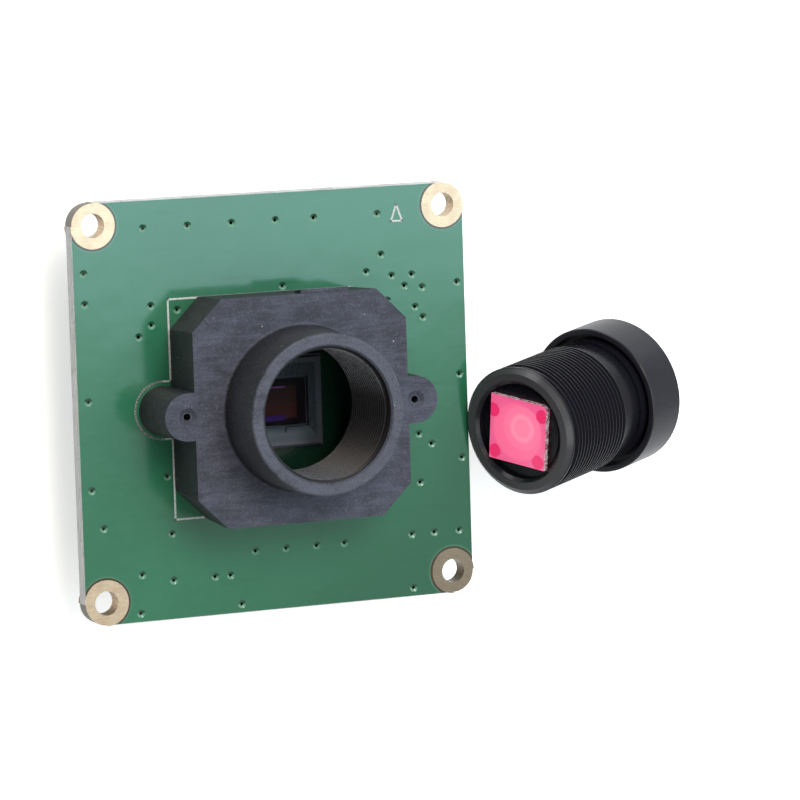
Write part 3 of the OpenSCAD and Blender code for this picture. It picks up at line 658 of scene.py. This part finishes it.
# ---------------------------------------------------------------- stage
def floor():
    """White ground; its own light is seen by the camera only, so that shadows stay faint."""
    half = 1.5
    corners = [(-half, -half, 0), (half, -half, 0), (half, half, 0), (-half, half, 0)]
    piece = add_object("floor", mesh_of("floor", corners, [(0, 1, 2, 3)]))
    piece.location.z = FLOOR_Z - 0.01 * MM
    s = Shader("floor_white")
    glow = s.times(s.node("ShaderNodeLightPath").outputs["Is Camera Ray"], 0.6)
    s.principled(Base_Color=(0.97, 0.97, 0.97), Roughness=0.9,
                 Emission_Color=(1.0, 1.0, 1.0), Emission_Strength=glow)
    s.wear(piece)


def softbox(name, place, target, width, height, radiance, colour=(1, 1, 1)):
    """A rectangular lamp aimed at target; its power follows from its radiance and size."""
    light = bpy.data.lights.new(name, "AREA")
    light.shape = "RECTANGLE"
    light.size, light.size_y = width, height
    light.energy = radiance * math.pi * width * height
    light.color = colour
    piece = add_object(name, light)
    piece.location = place
    piece.rotation_euler = (Vector(target) - Vector(place)).to_track_quat("-Z", "Y").to_euler()


def surroundings():
    """A room that grows brighter towards +X, and is plain white to the camera."""
    world = bpy.data.worlds.new("world")
    world.use_nodes = True
    bpy.context.scene.world = world
    nodes, links = world.node_tree.nodes, world.node_tree.links
    split = nodes.new("ShaderNodeSeparateXYZ")
    links.new(nodes.new("ShaderNodeTexCoord").outputs["Generated"], split.inputs[0])
    ramp = nodes.new("ShaderNodeMapRange")
    for key, value in (("From Min", -0.9), ("From Max", 0.9), ("To Min", 0.05), ("To Max", 0.55)):
        ramp.inputs[key].default_value = value
    links.new(split.outputs[0], ramp.inputs["Value"])
    pick = nodes.new("ShaderNodeMix")
    links.new(nodes.new("ShaderNodeLightPath").outputs["Is Camera Ray"], pick.inputs["Factor"])
    links.new(ramp.outputs[0], pick.inputs[2])
    pick.inputs[3].default_value = 1.0
    background = nodes["Background"]
    background.inputs["Color"].default_value = (1, 1, 1, 1)
    links.new(pick.outputs[0], background.inputs["Strength"])


floor()
# The board's upper part mirrors the top softbox
softbox("top", (0.22, 0.257, 0.60), (0.22, 0.257, 0.0), 0.60, 0.62, 2.3, (0.61, 0.85, 1.0))
softbox("key", (0.0, 0.40, 0.75), (0.0, 0.0, 0.0), 0.35, 0.35, 7.6, (1.0, 0.80, 0.64))
softbox("streak", (-0.45, 0.66, 0.12), lens_origin, 0.12, 0.30, 6.0)
softbox("front", (-0.10, -0.25, 0.75), (0.0, 0.0, 0.0), 0.35, 0.35, 2.0)
surroundings()


# ---------------------------------------------------------------- camera
def camera():
    """In front of the board, 24 degrees off its normal and mostly towards -X, with a long lens."""
    data = bpy.data.cameras.new("camera")
    data.sensor_width = 36
    data.lens = 213.63
    data.clip_start = 0.05
    data.clip_end = 20
    back = Vector((-0.3871, 0.1135, 0.9150)).normalized()
    right = Vector((0.9192, -0.0308, 0.3926))
    right = (right - back * right.dot(back)).normalized()
    view = Matrix((right, back.cross(right), back)).transposed().to_4x4()
    view.translation = Vector((-156.565, 48.742, 400.528)) * MM
    piece = add_object("camera", data)
    piece.matrix_world = view
    bpy.context.scene.camera = piece


camera()
bpy.context.scene.view_settings.view_transform = "Standard"
